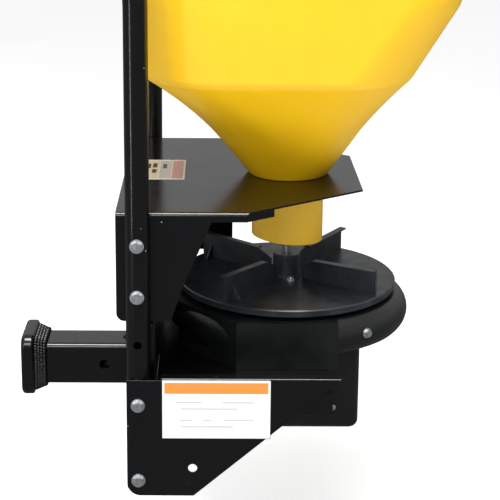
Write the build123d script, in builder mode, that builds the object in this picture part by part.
from build123d import *
import math
import os

# Receiver-mounted rotary salt and grit spreader, millimetres.
# +X points rearwards, away from the vehicle, +Y to the right-hand side, +Z up.
# Origin: the centre of the hitch pin hole in the receiver tube, on the mid-plane.

os.makedirs("parts", exist_ok=True)

# ---- driving dimensions ----
sheet = 3.0                      # steel sheet
gap = 0.35                       # clearance between pieces that are only bolted together
bolt_d = 9.5                     # 3/8 inch fasteners
bolt_hole_d = 10.3

receiver_outer = 69.85           # 2.75 inch square tube with a 2 inch bore
receiver_wall = 9.45
receiver_front_x = -135.0
pin_hole_r = 8.35                # takes a 5/8 inch hitch pin
collar_outer = 102.0
collar_length = 21.0

tube_r = 17.45                   # 1 3/8 inch frame tube
tube_wall = 2.5
leg_x = 67.5
leg_y = 260.0
leg_bottom_z = -98.0
plug_depth = 8.0
lean_start_z = 632.0
hoop_x = 30.0
hoop_z = 805.0
hoop_bend_r = 90.0
leg_bolt_z = (277.5, 201.0)      # shield bolts, then base bolts
base_bolt_z = (36.0, -82.5)
spare_hole_z = 127.5
spare_hole_r = 6.0

axis_x = 296.0                   # spinner, shaft and hopper throat

shield_top_z = 317.0
shield_front_x = 35.0
shield_kink_x = 225.0
shield_rear_x = 405.0
shield_half_y = 241.5
shield_rear_half_y = 109.0
wing_rear_x = 175.0
wing_bottom_z = 152.0

web_x = 90.0                     # front face of the cross panel
panel_half_y = 241.5
panel_bottom_z = -94.0
panel_top_z = 146.0

plate_outer_y = leg_y + tube_r + sheet
plate_top_z = 78.0
plate_bottom_z = -107.0
plate_front_x = 51.0
plate_rear_x = 364.0
plate_toe_x = 149.0
plate_hole_x, plate_hole_z, plate_hole_r = 147.5, -63.0, 6.75
deck_z = 50.0                    # underside of the deck
deck_rear_x = 352.0

hopper_wall = 4.5
hopper_front_x = 71.0
hopper_rear_x = 537.0
hopper_half_y = 236.0
hopper_corner_r = 95.0
hopper_rim_z = 840.0
shoulder_z = 612.0               # the rear wall slopes in below this
crease_z = 498.0                 # the funnel starts here
crease_rear_x = 470.0
crease_corner_r = 110.0
throat_r = 62.5
nozzle_r = 57.15                 # 4.5 inch outlet
nozzle_bottom_z = 211.5
nozzle_cut_angle = 4.3

disc_r = 176.0
disc_z = 145.0                   # upper face of the disc
disc_t = 4.0
vane_height = 40.0
vane_angles = (53.6, 143.6, 233.6, 323.6)
hub_r = 22.0
hub_height = 37.0
shaft_r = 6.35                   # 1/2 inch stainless shaft

shroud_top_z = 127.0
shroud_half_y = 184.0
shroud_lip_r = 196.0
shroud_lip_bottom_z = 72.0
shroud_wall = 4.0
cover_front_x = 140.0
cover_rear_x = 407.0
cover_half_y = 125.0
cover_bottom_z = -71.0

gear_z = -8.0
case_bolt_angles = (45, 135, 225, 315)
worm_y = -38.0
wheel_r = 27.5
worm_r = 9.5
worm_wheel_teeth = 20

lid_hinge_x = 50.0
lid_hinge_z = 824.0
latch_y = 130.0

case_bolt_circle_r = 27.0
hub_bolt_circle_r = 33.0
wing_knee = (131.0, 201.0)       # the wing's rear edge bends here
wing_foot_x = 115.0
clip_y = 140.0                   # clips between the hoop and the hopper
clip_bolt_z = 768.0
lip_bolt_z = 104.0
hinge_y = 100.0
handle_x = 479.0
handle_half_y = 55.0
handle_rise = 22.0


# ---- helpers ----
bottom = (Align.CENTER, Align.CENTER, Align.MIN)
top = (Align.CENTER, Align.CENTER, Align.MAX)


def y_cylinder(x, z, radius, y0, y1):
    """A cylinder along Y between two stations."""
    place = Plane(origin=(x, y0, z), x_dir=(1, 0, 0), z_dir=(0, 1, 0))
    return place * Cylinder(radius, y1 - y0, align=bottom, mode=Mode.PRIVATE)


def x_cylinder(y, z, radius, x0, x1):
    """A cylinder along X between two stations."""
    place = Plane(origin=(x0, y, z), x_dir=(0, 1, 0), z_dir=(1, 0, 0))
    return place * Cylinder(radius, x1 - x0, align=bottom, mode=Mode.PRIVATE)


def z_cylinder(x, y, radius, z0, z1):
    """A cylinder along Z between two heights."""
    return Pos(x, y, z0) * Cylinder(radius, z1 - z0, align=bottom, mode=Mode.PRIVATE)


def block(x0, x1, y0, y1, z0, z1):
    """A box between two corners."""
    return Pos(x0, y0, z0) * Box(x1 - x0, y1 - y0, z1 - z0, align=(Align.MIN,) * 3, mode=Mode.PRIVATE)


def around_axis(radius, angles):
    """Places on a bolt circle round the shaft."""
    return [(axis_x + radius * math.cos(math.radians(a)), radius * math.sin(math.radians(a))) for a in angles]


def hexagon(across_flats, height):
    """A hexagonal prism standing on the XY plane."""
    slab = Box(across_flats, 2 * across_flats, height, align=bottom, mode=Mode.PRIVATE)
    return slab & (Rot(0, 0, 60) * slab) & (Rot(0, 0, 120) * slab)


def flange_bolt(plane, shank, flats=14.3, d=bolt_d):
    """A hexagon flange bolt: head above the plane, shank below it."""
    flange = Cylinder(flats * 0.72, 1.8, align=bottom, mode=Mode.PRIVATE)
    dome = Cone(flats * 0.66, flats * 0.5, flats * 0.57, align=bottom, mode=Mode.PRIVATE)
    stem = Cylinder(d / 2, shank, align=top, mode=Mode.PRIVATE)
    return plane * (flange + (hexagon(flats, flats * 0.57) & dome) + stem)


def flange_nut(plane, bore_r, flats=14.3):
    """A hexagon flange nut standing on a plane, with its bore."""
    flange = Cylinder(flats * 0.7, 1.8, align=bottom, mode=Mode.PRIVATE)
    bore = Cylinder(bore_r, 60, mode=Mode.PRIVATE)
    return plane * (flange + hexagon(flats, flats * 0.56) - bore)


# ---- receiver tube and collar ----
with BuildPart() as receiver_tube:
    with BuildSketch(Plane.YZ.offset(receiver_front_x)):
        RectangleRounded(receiver_outer, receiver_outer, 8.0)
        RectangleRounded(receiver_outer - 2 * receiver_wall, receiver_outer - 2 * receiver_wall, 2.0,
                         mode=Mode.SUBTRACT)
    extrude(amount=web_x - receiver_front_x)
    with Locations(Location((0, 0, 0), (90, 0, 0))):
        Cylinder(pin_hole_r, receiver_outer + 20, mode=Mode.SUBTRACT)
receiver_tube.part.label = "receiver_tube"
export_step(receiver_tube.part, "parts/receiver_tube.step")

with BuildPart() as receiver_collar:
    with BuildSketch(Plane.YZ.offset(receiver_front_x + 0.5)):
        RectangleRounded(collar_outer, collar_outer, 19.0)
    extrude(amount=collar_length)
    fillet(receiver_collar.edges().filter_by(GeomType.LINE, reverse=True).group_by(Axis.X)[0], 7.0)
    fillet(receiver_collar.edges().group_by(Axis.X)[-1], 5.0)
    with BuildSketch(Plane.YZ.offset(receiver_front_x - 5)):
        RectangleRounded(receiver_outer + 0.2, receiver_outer + 0.2, 8.1)
    extrude(amount=collar_length + 20, mode=Mode.SUBTRACT)
receiver_collar.part.label = "receiver_collar"
export_step(receiver_collar.part, "parts/receiver_collar.step")

# Weld bead between collar and tube, as a tapered square ring.
with BuildPart() as collar_weld:
    with BuildSketch(Plane.YZ.offset(receiver_front_x + 0.5 + collar_length)):
        RectangleRounded(receiver_outer + 19, receiver_outer + 19, 15.0)
    with BuildSketch(Plane.YZ.offset(receiver_front_x + 0.5 + collar_length + 22)):
        RectangleRounded(receiver_outer + 1.6, receiver_outer + 1.6, 9.0)
    loft(ruled=True)
    with BuildSketch(Plane.YZ.offset(receiver_front_x)):
        RectangleRounded(receiver_outer, receiver_outer, 8.0)
    extrude(amount=collar_length + 40, mode=Mode.SUBTRACT)
collar_weld.part.label = "collar_weld"
export_step(collar_weld.part, "parts/collar_weld.step")

# ---- hoop frame ----
hoop_route = [
    (leg_x, -leg_y, leg_bottom_z), (leg_x, -leg_y, lean_start_z), (hoop_x, -leg_y, hoop_z),
    (hoop_x, leg_y, hoop_z), (leg_x, leg_y, lean_start_z), (leg_x, leg_y, leg_bottom_z)]

with BuildPart() as hoop_frame:
    with BuildLine():
        FilletPolyline(*hoop_route, radius=(150.0, hoop_bend_r, hoop_bend_r, 150.0))
    with BuildSketch(Plane(origin=hoop_route[0], z_dir=(0, 0, 1))):
        Circle(tube_r)
    sweep()
    with BuildLine():
        FilletPolyline(*hoop_route, radius=(150.0, hoop_bend_r, hoop_bend_r, 150.0))
    with BuildSketch(Plane(origin=hoop_route[0], z_dir=(0, 0, 1))):
        Circle(tube_r - tube_wall)
    sweep(mode=Mode.SUBTRACT)
    for bolt_z in leg_bolt_z + base_bolt_z:
        add(y_cylinder(leg_x, bolt_z, bolt_hole_d / 2, -leg_y - 30, leg_y + 30), mode=Mode.SUBTRACT)
    add(y_cylinder(leg_x, spare_hole_z, spare_hole_r, -leg_y - 30, leg_y + 30), mode=Mode.SUBTRACT)
hoop_frame.part.label = "hoop_frame"
export_step(hoop_frame.part, "parts/hoop_frame.step")

# Plastic plugs in the open lower ends of the legs.
with BuildPart() as leg_plugs:
    with Locations((leg_x, -leg_y, leg_bottom_z), (leg_x, leg_y, leg_bottom_z)):
        Cylinder(tube_r - tube_wall - 0.1, plug_depth, align=bottom)
        Cylinder(tube_r, 4, align=top)
leg_plugs.part.label = "leg_plugs"
export_step(leg_plugs.part, "parts/leg_plugs.step")

# ---- top shield: one folded sheet with two wings and two short rear flanges ----
bend_r = 6.0


def shield_outline(inset):
    """Plan outline of the shield top, drawn in by the inset."""
    h = shield_half_y - inset
    r = shield_rear_half_y - inset
    return [(shield_front_x, -h), (shield_kink_x, -h), (shield_rear_x, -r),
            (shield_rear_x, r), (shield_kink_x, h), (shield_front_x, h)]


with BuildPart() as top_shield:
    with BuildSketch(Plane.XY.offset(shield_top_z - 14)):
        Polygon(*shield_outline(0), align=None)
    extrude(amount=14)
    fillet(top_shield.edges().group_by(Axis.Z)[-1].filter_by(Axis.X), bend_r)
    with BuildSketch(Plane.XY.offset(shield_top_z - 20)):
        Polygon(*[(x - 10 if x == shield_front_x else x + (20 if x == shield_rear_x else 0), y)
                  for x, y in shield_outline(sheet)], align=None)
    extrude(amount=20 - sheet, mode=Mode.SUBTRACT)
    for side in (-1, 1):
        with BuildSketch(Plane.XZ.offset(-side * shield_half_y)):
            with BuildLine():
                Polyline((shield_front_x, shield_top_z - 12), (wing_rear_x, shield_top_z - 12),
                         wing_knee, (wing_foot_x, wing_bottom_z), (shield_front_x, wing_bottom_z), close=True)
            make_face()
        extrude(amount=side * sheet)
    wing_edges = top_shield.edges().filter_by(Axis.Y)
    wing_corners = wing_edges.filter_by_position(Axis.Z, wing_bottom_z - 1, wing_bottom_z + 1)
    fillet(wing_corners.filter_by_position(Axis.X, shield_front_x - 1, shield_front_x + 1), 12.0)
    with Locations((axis_x, 0, shield_top_z)):
        Cylinder(nozzle_r + 0.6, 30, mode=Mode.SUBTRACT)
    for bolt_z in leg_bolt_z:
        add(y_cylinder(leg_x, bolt_z, bolt_hole_d / 2, -leg_y, leg_y), mode=Mode.SUBTRACT)
top_shield.part.label = "top_shield"
export_step(top_shield.part, "parts/top_shield.step")

# ---- side deflector, a plain sheet bolted inside the right wing ----
deflector_y = shield_half_y - sheet - gap
deflector_rear_x = 211.0
deflector_bottom_z = 112.0
with BuildPart() as side_deflector:
    with BuildSketch(Plane.XZ.offset(-deflector_y)):
        with BuildLine():
            Polyline((95.0, 300.0), (deflector_rear_x, 300.0), (deflector_rear_x, deflector_bottom_z + 8),
                     (deflector_rear_x - 8, deflector_bottom_z), (95.0, deflector_bottom_z), close=True)
        make_face()
    extrude(amount=2.5)
    for x, z in ((108.0, 285.0), (108.0, 215.0)):
        add(y_cylinder(x, z, 3.3, deflector_y - 10, deflector_y + 10), mode=Mode.SUBTRACT)
side_deflector.part.label = "side_deflector"
export_step(side_deflector.part, "parts/side_deflector.step")

# ---- cross panel: web between the legs, ears along the legs ----
with BuildPart() as cross_panel:
    add(block(50.0, web_x + sheet, -panel_half_y, panel_half_y, panel_bottom_z, panel_top_z))
    fillet(cross_panel.edges().filter_by(Axis.Z).group_by(Axis.X)[-1], bend_r)
    panel_inner_y = panel_half_y - sheet
    add(block(40.0, web_x, -panel_inner_y, panel_inner_y, panel_bottom_z - 5, panel_top_z + 5),
        mode=Mode.SUBTRACT)
    for bolt_z in base_bolt_z:
        add(y_cylinder(leg_x, bolt_z, bolt_hole_d / 2, -leg_y, leg_y), mode=Mode.SUBTRACT)
    add(y_cylinder(leg_x, spare_hole_z, spare_hole_r, -leg_y, leg_y), mode=Mode.SUBTRACT)
cross_panel.part.label = "cross_panel"
export_step(cross_panel.part, "parts/cross_panel.step")

# Two gussets under and over the receiver tube, welded to the web.
gusset_foot = receiver_outer / 2 + 0.2
with BuildPart() as receiver_gussets:
    for side in (-1, 1):
        with BuildSketch(Plane.XZ.offset(3.0)):
            with BuildLine():
                Polyline((web_x, side * gusset_foot), (web_x, side * 88.0), (web_x - 10, side * 88.0),
                         (web_x - 62, side * gusset_foot), close=True)
            make_face()
        extrude(amount=-6.0)
receiver_gussets.part.label = "receiver_gussets"
export_step(receiver_gussets.part, "parts/receiver_gussets.step")

# ---- lower side plates, each with an inward top flange ----
flange_w = 18.0
for name, side in (("left_side_plate", -1), ("right_side_plate", 1)):
    with BuildPart() as side_plate:
        with BuildSketch(Plane.XZ.offset(-side * plate_outer_y)):
            with BuildLine():
                Polyline((plate_front_x, plate_top_z - 3), (web_x + 12, plate_top_z - 3),
                         (web_x + 12, plate_top_z), (plate_rear_x, plate_top_z),
                         (plate_toe_x, plate_bottom_z), (plate_front_x, plate_bottom_z), close=True)
            make_face()
        extrude(amount=side * sheet)
        inner_y = side * (plate_outer_y - flange_w)
        drill_y = side * plate_outer_y
        add(block(web_x + 12, plate_rear_x - 6, min(inner_y, side * plate_outer_y),
                  max(inner_y, side * plate_outer_y), plate_top_z - sheet, plate_top_z))
        bend = side_plate.edges().filter_by(Axis.X).group_by(Axis.Z)[-1].sort_by(Axis.Y)
        fillet(bend[0] if side < 0 else bend[-1], 2.6)
        plate_edges = side_plate.edges().filter_by(Axis.Y)
        toe = plate_edges.filter_by_position(Axis.Z, plate_bottom_z - 1, plate_bottom_z + 1)
        fillet(toe.sort_by(Axis.X)[0], 20.0)
        fillet(toe.sort_by(Axis.X)[-1], 4.0)
        for bolt_z in base_bolt_z:
            add(y_cylinder(leg_x, bolt_z, bolt_hole_d / 2, drill_y - 9, drill_y + 9), mode=Mode.SUBTRACT)
        add(y_cylinder(plate_hole_x, plate_hole_z, plate_hole_r, drill_y - 9, drill_y + 9),
            mode=Mode.SUBTRACT)
    side_plate.part.label = name
    export_step(side_plate.part, f"parts/{name}.step")

# ---- deck: a tray welded between the side plates, which carries the drive ----
plate_inner_y = plate_outer_y - sheet
with BuildPart() as deck:
    add(block(web_x + sheet + gap, deck_rear_x, -plate_inner_y, plate_inner_y, deck_z, deck_z + sheet))
    for side in (-1, 1):
        y0, y1 = sorted((side * plate_inner_y, side * (plate_inner_y - sheet)))
        add(block(web_x + sheet + gap, deck_rear_x, y0, y1, deck_z - 28, deck_z + sheet))
    add(z_cylinder(axis_x, 0, 22.0, deck_z - 5, deck_z + 10), mode=Mode.SUBTRACT)
    for x, y in around_axis(case_bolt_circle_r, case_bolt_angles):
        add(z_cylinder(x, y, 3.0, deck_z - 5, deck_z + 10), mode=Mode.SUBTRACT)
deck.part.label = "deck"
export_step(deck.part, "parts/deck.step")

# ---- drive shroud: moulded cap with a flat on each side and a rounded rear lip ----
front_flat_y = 86.0
shroud_front_x = 122.0
shroud_side_x = 212.0


def shroud_outline(inset):
    """Front part of the shroud's plan, drawn in by the inset, back to the shaft line."""
    h = shroud_half_y - inset
    w = front_flat_y - inset * 0.6
    x = shroud_front_x + inset
    x_side = shroud_side_x + inset * 0.3
    return [(axis_x, -h), (x_side, -h), (x, -w), (x, w), (x_side, h), (axis_x, h)]


with BuildPart() as drive_shroud:
    with BuildSketch(Plane.XY.offset(deck_z + sheet + gap)):
        Polygon(*shroud_outline(0), align=None)
    extrude(amount=shroud_top_z - deck_z - sheet - gap)
    add(block(axis_x - 1, 366.0, -shroud_half_y, shroud_half_y, deck_z + sheet + gap, shroud_top_z))
    with BuildSketch(Plane.XZ):
        with BuildLine():
            foot_x = axis_x + shroud_lip_r - 14
            lip_foot = Line((axis_x, shroud_lip_bottom_z), (foot_x, shroud_lip_bottom_z))
            lip_nose = ThreePointArc(lip_foot @ 1, (axis_x + shroud_lip_r, shroud_lip_bottom_z + 22),
                                     (axis_x + shroud_lip_r - 20, shroud_top_z))
            Line(lip_nose @ 1, (axis_x, shroud_top_z))
            Line((axis_x, shroud_top_z), (axis_x, shroud_lip_bottom_z))
        make_face()
    revolve(axis=Axis((axis_x, 0, 0), (0, 0, 1)))
    add(block(-200, 700, shroud_half_y, 400, -100, 400), mode=Mode.SUBTRACT)
    add(block(-200, 700, -400, -shroud_half_y, -100, 400), mode=Mode.SUBTRACT)
    # inside
    with BuildSketch(Plane.XY.offset(deck_z)):
        Polygon(*shroud_outline(shroud_wall), align=None)
    extrude(amount=shroud_top_z - shroud_wall - deck_z, mode=Mode.SUBTRACT)
    add(block(axis_x - 1, 362.0, -shroud_half_y + shroud_wall, shroud_half_y - shroud_wall, deck_z,
              shroud_top_z - shroud_wall), mode=Mode.SUBTRACT)
    with BuildSketch(Plane.XY.offset(shroud_lip_bottom_z - 1)):
        with Locations((axis_x, 0)):
            Circle(shroud_lip_r - 9)
            Rectangle(600, 2 * (shroud_half_y - shroud_wall), mode=Mode.INTERSECT)
    extrude(amount=shroud_top_z - 18 - shroud_lip_bottom_z, mode=Mode.SUBTRACT)
    add(block(deck_rear_x + 1, 420.0, -cover_half_y - 1, cover_half_y + 1, 40.0, shroud_lip_bottom_z),
        mode=Mode.SUBTRACT)
    add(z_cylinder(axis_x, 0, 17.0, shroud_top_z - 20, shroud_top_z + 5), mode=Mode.SUBTRACT)
    for angle in (-54, 54):
        outward = (math.cos(math.radians(angle)), math.sin(math.radians(angle)), 0)
        lip_plane = Plane(origin=(axis_x, 0, lip_bolt_z), z_dir=outward)
        add(lip_plane * Cylinder(3.3, 240, align=bottom, mode=Mode.PRIVATE), mode=Mode.SUBTRACT)
drive_shroud.part.label = "drive_shroud"
export_step(drive_shroud.part, "parts/drive_shroud.step")

# ---- motor cover under the deck, with a raised rear end behind it ----
cover_wall = 3.5


def rounded_tub(inset, tub_top_z, hump_top_z):
    """The cover's outer shape drawn in by the inset, with its corners rounded to suit."""
    with BuildPart() as tub:
        add(block(cover_front_x + inset, cover_rear_x - inset, inset - cover_half_y, cover_half_y - inset,
                  cover_bottom_z + inset, tub_top_z))
        add(block(deck_rear_x + 2 + inset, cover_rear_x - inset, inset - cover_half_y, cover_half_y - inset,
                  0, hump_top_z))
        uprights = tub.edges().filter_by(Axis.Z)
        fillet(uprights.group_by(Axis.X)[0], 26.0 - inset)
        uprights = tub.edges().filter_by(Axis.Z)
        fillet(uprights.group_by(Axis.X)[-1], 16.0 - inset)
        fillet(tub.edges().group_by(Axis.Z)[0], 12.0 - inset)
    return tub.part


cover_outside = rounded_tub(0, deck_z - gap, shroud_lip_bottom_z - gap)
cover_inside = rounded_tub(cover_wall, deck_z - gap + 2, shroud_lip_bottom_z + 2)
with BuildPart() as motor_cover:
    add(cover_outside)
    add(cover_inside, mode=Mode.SUBTRACT)
    for x in (170.0, 366.0):
        add(y_cylinder(x, -34.0, 2.6, -200, 200), mode=Mode.SUBTRACT)
    add(x_cylinder(70.0, -20.0, 9.0, cover_front_x - 5, cover_front_x + 10), mode=Mode.SUBTRACT)
motor_cover.part.label = "motor_cover"
export_step(motor_cover.part, "parts/motor_cover.step")

# Panel screws that close the cover onto the inner frame.
with BuildPart() as cover_screws:
    for x in (170.0, 366.0):
        for side in (-1, 1):
            seat = Plane(origin=(x, side * cover_half_y, -34.0), x_dir=(1, 0, 0), z_dir=(0, side, 0))
            add(seat * Cylinder(4.6, 2.6, align=bottom, mode=Mode.PRIVATE))
            add(seat * Cylinder(2.5, 12.0, align=top, mode=Mode.PRIVATE))
    fillet(cover_screws.edges().filter_by(GeomType.CIRCLE).filter_by(
        lambda e: abs(abs(e.center().Y) - cover_half_y - 2.6) < 0.01), 1.6)
cover_screws.part.label = "cover_screws"
export_step(cover_screws.part, "parts/cover_screws.step")

# Cable gland in the front of the cover; the lead is not part of this object.
with BuildPart() as cable_gland:
    add(x_cylinder(70.0, -20.0, 8.9, cover_front_x - 2, cover_front_x + 8))
    add(Plane(origin=(cover_front_x - 7, 70.0, -20.0), z_dir=(1, 0, 0)) * hexagon(22.0, 7.0))
    add(x_cylinder(70.0, -20.0, 8.5, cover_front_x - 18, cover_front_x - 7))
    add(x_cylinder(70.0, -20.0, 4.0, cover_front_x - 30, cover_front_x + 30), mode=Mode.SUBTRACT)
cable_gland.part.label = "cable_gland"
export_step(cable_gland.part, "parts/cable_gland.step")

# ---- gear case: two halves around the worm and the wheel ----
case_x0, case_x1, case_y0, case_y1 = 250.0, 342.0, -60.0, 42.0
case_top_z, case_bottom_z = deck_z - gap, -40.0
bearing_r = 16.0


def cut_case_inside():
    """Cavities and bores that both halves of the gear case share."""
    add(z_cylinder(axis_x, 0, wheel_r + 2.5, gear_z - 11, gear_z + 11), mode=Mode.SUBTRACT)
    add(x_cylinder(worm_y, gear_z, worm_r + 2.0, case_x0 + 12, case_x1 - 10), mode=Mode.SUBTRACT)
    add(x_cylinder(worm_y, gear_z, 6.0, case_x0 - 5, case_x1 - 3), mode=Mode.SUBTRACT)
    add(z_cylinder(axis_x, 0, bearing_r, case_bottom_z + 4, case_bottom_z + 14), mode=Mode.SUBTRACT)
    add(z_cylinder(axis_x, 0, bearing_r, 30.0, 80.0), mode=Mode.SUBTRACT)
    add(z_cylinder(axis_x, 0, 9.0, case_bottom_z + 6, 80.0), mode=Mode.SUBTRACT)


with BuildPart() as gear_case_upper:
    add(block(case_x0, case_x1, case_y0, case_y1, gear_z, 24.0))
    add(z_cylinder(axis_x, 0, 34.0, 24.0, case_top_z))
    fillet(gear_case_upper.edges().filter_by(Axis.Z), 8.0)
    cut_case_inside()
gear_case_upper.part.label = "gear_case_upper"
export_step(gear_case_upper.part, "parts/gear_case_upper.step")

with BuildPart() as gear_case_lower:
    add(block(case_x0, case_x1, case_y0, case_y1, case_bottom_z, gear_z))
    fillet(gear_case_lower.edges().filter_by(Axis.Z), 8.0)
    cut_case_inside()
gear_case_lower.part.label = "gear_case_lower"
export_step(gear_case_lower.part, "parts/gear_case_lower.step")


def ball_bearing(z0, z1):
    """A sealed bearing as one ring with grooved faces, bored for a running fit on the shaft."""
    with BuildPart() as ring:
        with BuildSketch(Plane.XY.offset(z0)):
            with Locations((axis_x, 0)):
                Circle(bearing_r)
                Circle(shaft_r + 0.04, mode=Mode.SUBTRACT)
        extrude(amount=z1 - z0)
        for face_z in (z0, z1 - 0.8):
            with BuildSketch(Plane.XY.offset(face_z)):
                with Locations((axis_x, 0)):
                    Circle(bearing_r - 2.2)
                    Circle(shaft_r + 2.2, mode=Mode.SUBTRACT)
            extrude(amount=0.8, mode=Mode.SUBTRACT)
    return ring.part


upper_bearing = ball_bearing(30.0, 40.0)
upper_bearing.label = "upper_bearing"
export_step(upper_bearing, "parts/upper_bearing.step")

lower_bearing = ball_bearing(case_bottom_z + 4, case_bottom_z + 14)
lower_bearing.label = "lower_bearing"
export_step(lower_bearing, "parts/lower_bearing.step")

with BuildPart() as shaft_seal:
    add(z_cylinder(axis_x, 0, bearing_r, 40.0, 46.0))
    add(z_cylinder(axis_x, 0, shaft_r + 0.04, 30.0, 60.0), mode=Mode.SUBTRACT)
shaft_seal.part.label = "shaft_seal"
export_step(shaft_seal.part, "parts/shaft_seal.step")

# Rubber boot that closes the shroud round the shaft.
with BuildPart() as shroud_boot:
    with BuildSketch(Plane.XZ):
        with BuildLine():
            boot_in, boot_out, groove = axis_x + shaft_r + 0.4, axis_x + 20, axis_x + 16.7
            Polyline((boot_in, 121.0), (boot_out, 121.0), (boot_out, shroud_top_z - 4.3),
                     (groove, shroud_top_z - 4.3), (groove, shroud_top_z + 0.3),
                     (boot_out, shroud_top_z + 0.3), (boot_out, shroud_top_z + 1.8),
                     (axis_x + 12, 132.0), (boot_in, 132.0), close=True)
        make_face()
    revolve(axis=Axis((axis_x, 0, 0), (0, 0, 1)))
shroud_boot.part.label = "shroud_boot"
export_step(shroud_boot.part, "parts/shroud_boot.step")

# Bolts that hang the gear case from the deck.
with BuildPart() as case_bolts:
    for x, y in around_axis(case_bolt_circle_r, case_bolt_angles):
        add(flange_bolt(Plane(origin=(x, y, deck_z + sheet)), sheet, flats=8.0, d=6.0))
case_bolts.part.label = "case_bolts"
export_step(case_bolts.part, "parts/case_bolts.step")

# ---- gear train ----
with BuildPart() as worm_wheel:
    with BuildSketch(Plane.XY.offset(gear_z - 8)):
        with Locations((axis_x, 0)):
            Circle(wheel_r - 3.0)
            with PolarLocations(wheel_r - 1.7, worm_wheel_teeth):
                Trapezoid(4.4, 3.4, 70, rotation=-90)
            Circle(shaft_r, mode=Mode.SUBTRACT)
    extrude(amount=16)
    add(z_cylinder(axis_x, 0, 11.0, gear_z - 9.5, gear_z + 9.5))
    add(z_cylinder(axis_x, 0, shaft_r, gear_z - 20, gear_z + 20), mode=Mode.SUBTRACT)
worm_wheel.part.label = "worm_wheel"
export_step(worm_wheel.part, "parts/worm_wheel.step")

worm_x0, worm_x1 = axis_x - 26.0, axis_x + 26.0
with BuildPart() as worm:
    with BuildSketch(Plane.XZ.offset(-worm_y)):
        with BuildLine():
            outline = [(worm_x0, gear_z + 4.0), (worm_x0, gear_z + 6.2)]
            pitch = 8.0
            for turn in range(6):
                crest = worm_x0 + 3.0 + turn * pitch
                outline += [(crest, gear_z + 6.2), (crest + 1.6, gear_z + worm_r),
                            (crest + 3.4, gear_z + worm_r), (crest + 5.0, gear_z + 6.2)]
            outline += [(worm_x1, gear_z + 6.2), (worm_x1, gear_z + 4.0)]
            Polyline(*outline, close=True)
        make_face()
    revolve(axis=Axis((0, worm_y, gear_z), (1, 0, 0)))
worm.part.label = "worm"
export_step(worm.part, "parts/worm.step")

# ---- motor, lying forwards of the gear case on the worm's axis ----
motor_x0, motor_x1, motor_r = 152.0, 240.0, 33.0
with BuildPart() as motor_can:
    add(x_cylinder(worm_y, gear_z, motor_r, motor_x0, motor_x1))
    fillet(motor_can.edges().filter_by(GeomType.CIRCLE).group_by(Axis.X)[0], 5.0)
    add(x_cylinder(worm_y, gear_z, motor_r - 2.5, motor_x0 + 4, motor_x1 + 5), mode=Mode.SUBTRACT)
    add(x_cylinder(worm_y, gear_z, 4.05, motor_x0 - 5, motor_x0 + 10), mode=Mode.SUBTRACT)
motor_can.part.label = "motor_can"
export_step(motor_can.part, "parts/motor_can.step")

with BuildPart() as motor_flange:
    add(x_cylinder(worm_y, gear_z, motor_r, motor_x1, motor_x1 + 5))
    add(block(motor_x1 + 5, case_x0, worm_y - 22, worm_y + 22, gear_z - 24, gear_z + 24))
    add(x_cylinder(worm_y, gear_z, 4.05, motor_x1 - 5, case_x0 + 5), mode=Mode.SUBTRACT)
motor_flange.part.label = "motor_flange"
export_step(motor_flange.part, "parts/motor_flange.step")

with BuildPart() as armature:
    add(x_cylinder(worm_y, gear_z, 4.0, motor_x0 - 2, worm_x1 + 12))
    add(x_cylinder(worm_y, gear_z, 24.0, motor_x0 + 18, motor_x1 - 16))
    add(x_cylinder(worm_y, gear_z, 10.0, motor_x0 + 7, motor_x0 + 18))
armature.part.label = "armature"
export_step(armature.part, "parts/armature.step")

with BuildPart() as worm_bush:
    add(x_cylinder(worm_y, gear_z, 6.0, case_x1 - 10, case_x1 - 3))
    add(x_cylinder(worm_y, gear_z, 4.05, case_x1 - 15, case_x1), mode=Mode.SUBTRACT)
worm_bush.part.label = "worm_bush"
export_step(worm_bush.part, "parts/worm_bush.step")

# ---- spinner: shaft, disc with four vanes, hub and its bolts ----
shaft_bottom_z, shaft_top_z = case_bottom_z + 6.0, 392.0
with BuildPart() as output_shaft:
    add(z_cylinder(axis_x, 0, shaft_r, shaft_bottom_z, shaft_top_z))
    chamfer(output_shaft.edges().filter_by(GeomType.CIRCLE), 0.8)
output_shaft.part.label = "output_shaft"
export_step(output_shaft.part, "parts/output_shaft.step")

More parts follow.
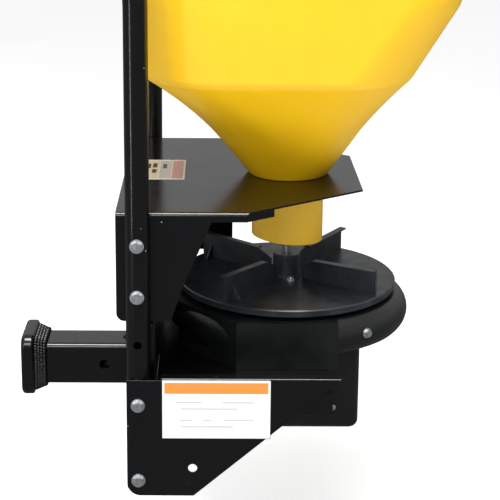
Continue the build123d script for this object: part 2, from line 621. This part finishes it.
hub_bolt_angles = (8.6, 98.6, 188.6, 278.6)
vane_in, vane_out = 30.0, 168.0
vane_t = 3.0
with BuildPart() as spinner_disc:
    with BuildSketch(Plane.XZ):
        with BuildLine():
            Polyline((axis_x + shaft_r, disc_z - disc_t), (axis_x + disc_r - 5, disc_z - disc_t),
                     (axis_x + disc_r - 4, disc_z - 11), (axis_x + disc_r - 1, disc_z - 11),
                     (axis_x + disc_r, disc_z - 2), (axis_x + disc_r - 2, disc_z),
                     (axis_x + shaft_r, disc_z), close=True)
        make_face()
    revolve(axis=Axis((axis_x, 0, 0), (0, 0, 1)))
    for angle in vane_angles:
        c, d = math.cos(math.radians(angle)), math.sin(math.radians(angle))
        upright = Plane(origin=(axis_x, 0, disc_z - 1), x_dir=(c, d, 0), z_dir=(d, -c, 0))
        with BuildSketch(upright.offset(-vane_t / 2)):
            with BuildLine():
                Polyline((vane_in, 0), (vane_out, 0), (vane_out, vane_height + 1),
                         (vane_in + 26, vane_height - 4), (vane_in, 22), close=True)
            make_face()
        extrude(amount=vane_t)
        # top flange of the vane, leaning over the leading side
        with BuildSketch(upright.offset(-vane_t / 2)):
            with BuildLine():
                Polyline((vane_in + 26, vane_height - 4), (vane_out, vane_height + 1),
                         (vane_out, vane_height - 1.5), (vane_in + 26, vane_height - 6.5), close=True)
            make_face()
        extrude(amount=12.0)
        # triangular gusset behind the outer end
        with BuildSketch(Plane(origin=upright.from_local_coords((vane_out - 16, 0, 0)), x_dir=upright.z_dir,
                               z_dir=-upright.x_dir)):
            with BuildLine():
                Polyline((-1, 0), (-16, 0), (-1, 24), close=True)
            make_face()
        extrude(amount=2.6)
    for x, y in around_axis(hub_bolt_circle_r, hub_bolt_angles):
        add(z_cylinder(x, y, 3.0, disc_z - 10, disc_z + 10), mode=Mode.SUBTRACT)
spinner_disc.part.label = "spinner_disc"
export_step(spinner_disc.part, "parts/spinner_disc.step")

with BuildPart() as spinner_hub:
    add(z_cylinder(axis_x, 0, 25.0, disc_z, disc_z + 6))
    add(z_cylinder(axis_x, 0, hub_r, disc_z + 6, disc_z + hub_height))
    fillet(spinner_hub.edges().filter_by(GeomType.CIRCLE).group_by(Axis.Z)[-1], 2.0)
    add(z_cylinder(axis_x, 0, shaft_r, disc_z - 5, disc_z + 60), mode=Mode.SUBTRACT)
spinner_hub.part.label = "spinner_hub"
export_step(spinner_hub.part, "parts/spinner_hub.step")

with BuildPart() as hub_bolts:
    for x, y in around_axis(hub_bolt_circle_r, hub_bolt_angles):
        add(flange_bolt(Plane(origin=(x, y, disc_z)), disc_t, flats=10.0, d=6.0))
hub_bolts.part.label = "hub_bolts"
export_step(hub_bolts.part, "parts/hub_bolts.step")

# ---- agitator on the upper end of the shaft, in the funnel ----
agitator_z = 350.0
with BuildPart() as agitator:
    add(z_cylinder(axis_x, 0, 13.0, agitator_z, agitator_z + 36))
    for index, angle in enumerate((20, 140, 260)):
        finger = Plane(origin=(axis_x, 0, agitator_z + 9 + 9 * index),
                       z_dir=(math.cos(math.radians(angle)), math.sin(math.radians(angle)), 0.35))
        add(finger * Cylinder(3.0, 58.0, align=bottom, mode=Mode.PRIVATE))
    add(z_cylinder(axis_x, 0, shaft_r, agitator_z - 50, agitator_z + 80), mode=Mode.SUBTRACT)
agitator.part.label = "agitator"
export_step(agitator.part, "parts/agitator.step")

# ---- hopper: one moulding with a square tub, a funnel and a round outlet ----
def hopper_sections(inset):
    """Sections from the throat up: height, front, rear, half width and corner radius, less the inset."""
    throat = throat_r - inset
    front_x = hopper_front_x + inset
    half_y = hopper_half_y - inset
    middle_r = 116.0 - inset
    floor = 5.0 if inset else 0.0
    return (
        (shield_top_z + gap + floor, axis_x - throat, axis_x + throat, throat, throat * 0.97),
        (402.0, 163.0 + inset, 416.0 - inset, middle_r, middle_r * 0.93),
        (crease_z, front_x, crease_rear_x - inset, half_y, crease_corner_r - inset),
        (shoulder_z, front_x, hopper_rear_x - inset, half_y, hopper_corner_r - inset),
    )


def hopper_body(inset, rim_z):
    """Solid of the hopper's shape, drawn in by the inset."""
    sections = hopper_sections(inset)
    with BuildPart() as body:
        for z, x0, x1, half_y, corner_r in sections[:3]:
            with BuildSketch(Plane.XY.offset(z)):
                with Locations(((x0 + x1) / 2, 0)):
                    RectangleRounded(x1 - x0, 2 * half_y, corner_r)
        loft()
        for z, x0, x1, half_y, corner_r in sections[2:]:
            with BuildSketch(Plane.XY.offset(z)):
                with Locations(((x0 + x1) / 2, 0)):
                    RectangleRounded(x1 - x0, 2 * half_y, corner_r)
        loft()
        z, x0, x1, half_y, corner_r = sections[3]
        with BuildSketch(Plane.XY.offset(z)):
            with Locations(((x0 + x1) / 2, 0)):
                RectangleRounded(x1 - x0, 2 * half_y, corner_r)
        extrude(amount=rim_z - z)
    return body.part


hopper_outside = hopper_body(0, hopper_rim_z)
hopper_inside = hopper_body(hopper_wall, hopper_rim_z + 5)
with BuildPart() as hopper_moulding:
    add(hopper_outside)
    add(z_cylinder(axis_x, 0, nozzle_r, nozzle_bottom_z - 10, shield_top_z + 2))
    add(hopper_inside, mode=Mode.SUBTRACT)
    add(z_cylinder(axis_x, 0, nozzle_r - hopper_wall, nozzle_bottom_z - 20, shield_top_z + 12),
        mode=Mode.SUBTRACT)
    with Locations(Location((axis_x, 0, nozzle_bottom_z), (0, nozzle_cut_angle, 0))):
        Box(200, 200, 60, align=top, mode=Mode.SUBTRACT)
    for side in (-1, 1):
        add(x_cylinder(side * clip_y, clip_bolt_z, 4.2, hopper_front_x - 5, hopper_front_x + 10),
            mode=Mode.SUBTRACT)


def height_band(moulding, z0, z1):
    """A moulding's part between two heights."""
    with BuildPart() as band:
        add(moulding)
        add(block(-100, 800, -400, 400, z0, z1), mode=Mode.INTERSECT)
    return band.part


# The moulding is kept in four bands, so that each one is a plain ring of wall.
outlet_top_z = shield_top_z + gap + 5.0
hopper_outlet = height_band(hopper_moulding.part, 0, outlet_top_z)
hopper_outlet.label = "hopper_outlet"
export_step(hopper_outlet, "parts/hopper_outlet.step")

hopper_funnel = height_band(hopper_moulding.part, outlet_top_z, crease_z)
hopper_funnel.label = "hopper_funnel"
export_step(hopper_funnel, "parts/hopper_funnel.step")

hopper_shoulder = height_band(hopper_moulding.part, crease_z, shoulder_z)
hopper_shoulder.label = "hopper_shoulder"
export_step(hopper_shoulder, "parts/hopper_shoulder.step")

hopper_tub = height_band(hopper_moulding.part, shoulder_z, hopper_rim_z)
hopper_tub.label = "hopper_tub"
export_step(hopper_tub, "parts/hopper_tub.step")

# ---- screen inside the tub, hung over the rim by four hooks ----
screen_z = 775.0
screen_x0, screen_x1, screen_half_y = 84.0, 524.0, 222.0
with BuildPart() as hopper_screen:
    with BuildSketch(Plane.XY.offset(screen_z)):
        with Locations(((screen_x0 + screen_x1) / 2, 0)):
            RectangleRounded(screen_x1 - screen_x0, 2 * screen_half_y, 82.0)
            RectangleRounded(screen_x1 - screen_x0 - 16, 2 * screen_half_y - 16, 74.0, mode=Mode.SUBTRACT)
    extrude(amount=6.0)
    for index in range(9):
        y = -176.0 + 44.0 * index
        add(x_cylinder(y, screen_z + 3, 2.5, screen_x0 + 2, screen_x1 - 2))
    for index in range(9):
        x = screen_x0 + 54.0 + 41.0 * index
        add(y_cylinder(x, screen_z + 3, 2.5, -screen_half_y + 2, screen_half_y - 2))
hopper_screen.part.label = "hopper_screen"
export_step(hopper_screen.part, "parts/hopper_screen.step")

# Four straps carry the screen from the rim.
strap_half_w = 11.0
strap_y = hopper_half_y - hopper_wall - 1.0      # outer face of the strap
with BuildPart() as screen_hooks:
    for side in (-1, 1):
        for x in (200.0, 420.0):
            x0, x1 = x - strap_half_w, x + strap_half_w
            for y_from, y_to, z_from, z_to in (
                    (screen_half_y + 0.2, strap_y, screen_z, screen_z + 3),
                    (strap_y - 3, strap_y, screen_z, hopper_rim_z + 3),
                    (strap_y - 3, hopper_half_y, hopper_rim_z + 0.2, hopper_rim_z + 3)):
                y0, y1 = sorted((side * y_from, side * y_to))
                add(block(x0, x1, y0, y1, z_from, z_to))
screen_hooks.part.label = "screen_hooks"
export_step(screen_hooks.part, "parts/screen_hooks.step")

# ---- clips that hold the hopper to the hoop's cross tube ----
with BuildPart() as hopper_clips:
    for side in (-1, 1):
        y = side * clip_y
        add(y_cylinder(hoop_x, hoop_z, tube_r + 3.2, y - 16, y + 16))
        add(block(hoop_x, hopper_front_x - 0.3, y - 16, y + 16, hoop_z - 22.0, hoop_z - 17.0))
        add(block(hopper_front_x - 4.3, hopper_front_x - 0.3, y - 16, y + 16, 756.0, hoop_z - 17.0))
    add(y_cylinder(hoop_x, hoop_z, tube_r, -200, 200), mode=Mode.SUBTRACT)
    for side in (-1, 1):
        add(x_cylinder(side * clip_y, clip_bolt_z, 4.2, 50, 90), mode=Mode.SUBTRACT)
hopper_clips.part.label = "hopper_clips"
export_step(hopper_clips.part, "parts/hopper_clips.step")

# ---- lid: domed moulding, hinged along the front edge ----
lid_x0, lid_x1, lid_half_y = 62.0, 549.0, 246.0
lid_skirt_z, lid_deck_z, lid_crown_z = 826.0, 853.0, 876.0
lid_wall = 4.0


def lid_body(inset, foot_z):
    """The lid's outer shape, drawn in by the inset, down to the foot."""
    with BuildPart() as body:
        deck_ring = (lid_deck_z - inset, inset, 96.0 - inset)
        crown_ring = (lid_crown_z - inset, 46.0, 70.0)
        for z, pull, corner_r in (deck_ring, crown_ring):
            with BuildSketch(Plane.XY.offset(z)):
                with Locations(((lid_x0 + lid_x1) / 2, 0)):
                    RectangleRounded(lid_x1 - lid_x0 - 2 * pull, 2 * (lid_half_y - pull), corner_r)
        loft()
        with BuildSketch(Plane.XY.offset(foot_z)):
            with Locations(((lid_x0 + lid_x1) / 2, 0)):
                RectangleRounded(lid_x1 - lid_x0 - 2 * inset, 2 * (lid_half_y - inset), 96.0 - inset)
        extrude(amount=lid_deck_z - inset - foot_z)
    return body.part


lid_outside = lid_body(0, lid_skirt_z)
lid_inside = lid_body(lid_wall, lid_skirt_z - 5)
lid_shell = lid_outside - lid_inside
lid_seam_z = lid_deck_z - lid_wall

lid = height_band(lid_shell, lid_seam_z, 900)
lid.label = "lid"
export_step(lid, "parts/lid.step")

# The lid's skirt, with the hinge knuckles on its front edge.
lid_ring = height_band(lid_shell, 800, lid_seam_z)
with BuildPart() as lid_skirt:
    add(lid_ring)
    for side in (-1, 1):
        for y in (side * (hinge_y - 16), side * (hinge_y + 16)):
            add(y_cylinder(lid_hinge_x, lid_hinge_z, 6.5, y - 6, y + 6))
            add(block(lid_hinge_x - 2, lid_x0 + 3, y - 6, y + 6, lid_hinge_z + 2, lid_hinge_z + 10))
        add(y_cylinder(lid_hinge_x, lid_hinge_z, 3.05, -200, 200), mode=Mode.SUBTRACT)
lid_skirt.part.label = "lid_skirt"
export_step(lid_skirt.part, "parts/lid_skirt.step")

with BuildPart() as hinge_brackets:
    for side in (-1, 1):
        y = side * hinge_y
        add(y_cylinder(lid_hinge_x, lid_hinge_z, 6.5, y - 9, y + 9))
        add(block(lid_hinge_x - 3, hopper_front_x - 0.3, y - 9, y + 9, lid_hinge_z - 9, lid_hinge_z - 3))
        add(block(hopper_front_x - 4.3, hopper_front_x - 0.3, y - 9, y + 9, 792.0, lid_hinge_z - 3))
        add(y_cylinder(lid_hinge_x, lid_hinge_z, 3.0, y - 15, y + 15), mode=Mode.SUBTRACT)
hinge_brackets.part.label = "hinge_brackets"
export_step(hinge_brackets.part, "parts/hinge_brackets.step")

with BuildPart() as hinge_pins:
    for side in (-1, 1):
        y = side * hinge_y
        add(y_cylinder(lid_hinge_x, lid_hinge_z, 3.0, y - 25, y + 25))
        add(y_cylinder(lid_hinge_x, lid_hinge_z, 5.0, y - 27, y - 24))
        add(y_cylinder(lid_hinge_x, lid_hinge_z, 5.0, y + 24, y + 27))
hinge_pins.part.label = "hinge_pins"
export_step(hinge_pins.part, "parts/hinge_pins.step")

with BuildPart() as lid_handle:
    with BuildLine():
        FilletPolyline((handle_x, -handle_half_y, lid_crown_z - 10),
                       (handle_x, -handle_half_y, lid_crown_z + handle_rise),
                       (handle_x, handle_half_y, lid_crown_z + handle_rise),
                       (handle_x, handle_half_y, lid_crown_z - 10), radius=14.0)
    with BuildSketch(Plane(origin=(handle_x, -handle_half_y, lid_crown_z - 10), z_dir=(0, 0, 1))):
        Circle(6.0)
    sweep()
    add(block(0, 700, -300, 300, 700, lid_crown_z + 0.3), mode=Mode.SUBTRACT)
    for y in (-handle_half_y, handle_half_y):
        add(z_cylinder(handle_x, y, 11.0, lid_crown_z + 0.3, lid_crown_z + 3.5))
lid_handle.part.label = "lid_handle"
export_step(lid_handle.part, "parts/lid_handle.step")

# ---- rubber draw latches on the rear wall ----
latch_x, latch_z = 555.0, 775.0
for name, side in (("latch_left", -1), ("latch_right", 1)):
    y = side * latch_y
    with BuildPart() as latch:
        add(y_cylinder(latch_x, latch_z, 7.0, y - 10, y + 10))
        add(block(latch_x - 3.5, latch_x + 3.5, y - 8, y + 8, latch_z + 4, 846.0))
        add(y_cylinder(latch_x + 1.5, 847.0, 6.5, y - 22, y + 22))
        rims = latch.edges().filter_by(GeomType.CIRCLE)
        fillet(rims.filter_by(lambda e: abs(abs(e.center().Y - y) - 22) < 0.1), 3.0)
        add(y_cylinder(latch_x, latch_z, 3.05, y - 30, y + 30), mode=Mode.SUBTRACT)
    latch.part.label = name
    export_step(latch.part, f"parts/{name}.step")

with BuildPart() as latch_brackets:
    for side in (-1, 1):
        y = side * latch_y
        add(block(hopper_rear_x + 0.3, hopper_rear_x + 3.3, y - 20, y + 20, 750.0, 800.0))
        for ear in (-1, 1):
            y_mid = y + ear * 12.5
            add(block(hopper_rear_x + 0.3, latch_x, y_mid - 2, y_mid + 2, latch_z - 8, latch_z + 8))
            add(y_cylinder(latch_x, latch_z, 8.0, y_mid - 2, y_mid + 2))
            add(y_cylinder(latch_x, latch_z, 3.0, y_mid - 6, y_mid + 6), mode=Mode.SUBTRACT)
latch_brackets.part.label = "latch_brackets"
export_step(latch_brackets.part, "parts/latch_brackets.step")

with BuildPart() as latch_pins:
    for side in (-1, 1):
        y = side * latch_y
        add(y_cylinder(latch_x, latch_z, 3.0, y - 16.5, y + 16.5))
        add(y_cylinder(latch_x, latch_z, 5.0, y - 18.5, y - 15))
        add(y_cylinder(latch_x, latch_z, 5.0, y + 15, y + 18.5))
latch_pins.part.label = "latch_pins"
export_step(latch_pins.part, "parts/latch_pins.step")

# ---- fasteners ----
with BuildPart() as frame_bolts:
    for side in (-1, 1):
        for bolt_z in leg_bolt_z:
            seat = Plane(origin=(leg_x, side * (leg_y + tube_r), bolt_z), x_dir=(1, 0, 0),
                         z_dir=(0, side, 0))
            add(flange_bolt(seat, leg_y + tube_r - shield_half_y + sheet + 12))
        for bolt_z in base_bolt_z:
            seat = Plane(origin=(leg_x, side * plate_outer_y, bolt_z), x_dir=(1, 0, 0), z_dir=(0, side, 0))
            add(flange_bolt(seat, plate_outer_y - panel_half_y + sheet + 12))
frame_bolts.part.label = "frame_bolts"
export_step(frame_bolts.part, "parts/frame_bolts.step")

with BuildPart() as frame_nuts:
    for side in (-1, 1):
        for bolt_z in leg_bolt_z + base_bolt_z:
            seat = Plane(origin=(leg_x, side * (shield_half_y - sheet), bolt_z), x_dir=(1, 0, 0),
                         z_dir=(0, -side, 0))
            add(flange_nut(seat, bolt_d / 2))
frame_nuts.part.label = "frame_nuts"
export_step(frame_nuts.part, "parts/frame_nuts.step")

with BuildPart() as lip_bolts:
    for angle in (-54, 54):
        direction = (math.cos(math.radians(angle)), math.sin(math.radians(angle)), 0)
        washer_foot = Vector(axis_x, 0, lip_bolt_z) + Vector(*direction) * (shroud_lip_r + 0.7)
        seat = Plane(origin=washer_foot, z_dir=direction)
        add(seat * Cylinder(8.0, 1.6, align=bottom, mode=Mode.PRIVATE))
        add(seat.offset(1.6) * hexagon(10.0, 5.0))
        add(seat * Cylinder(3.2, 14.0, align=top, mode=Mode.PRIVATE))
lip_bolts.part.label = "lip_bolts"
export_step(lip_bolts.part, "parts/lip_bolts.step")

with BuildPart() as clip_bolts:
    for side in (-1, 1):
        seat = Plane(origin=(hopper_front_x - 4.3, side * clip_y, clip_bolt_z), z_dir=(-1, 0, 0))
        add(flange_bolt(seat, 4.3 + hopper_wall + 6, flats=12.0, d=8.0))
clip_bolts.part.label = "clip_bolts"
export_step(clip_bolts.part, "parts/clip_bolts.step")

# ---- labels, thin printed plates ----
with BuildPart() as safety_label:
    with BuildSketch(Plane.XZ.offset(plate_outer_y)):
        with Locations((182.0, 30.5)):
            RectangleRounded(159.0, 92.0, 1.5)
    extrude(amount=0.5)
safety_label.part.label = "safety_label"
export_step(safety_label.part, "parts/safety_label.step")

with BuildPart() as rating_label:
    with BuildSketch(Plane.XY.offset(shield_top_z)):
        with Locations((98.0, 10.0)):
            RectangleRounded(66.0, 126.0, 1.5)
    extrude(amount=0.5)
rating_label.part.label = "rating_label"
export_step(rating_label.part, "parts/rating_label.step")
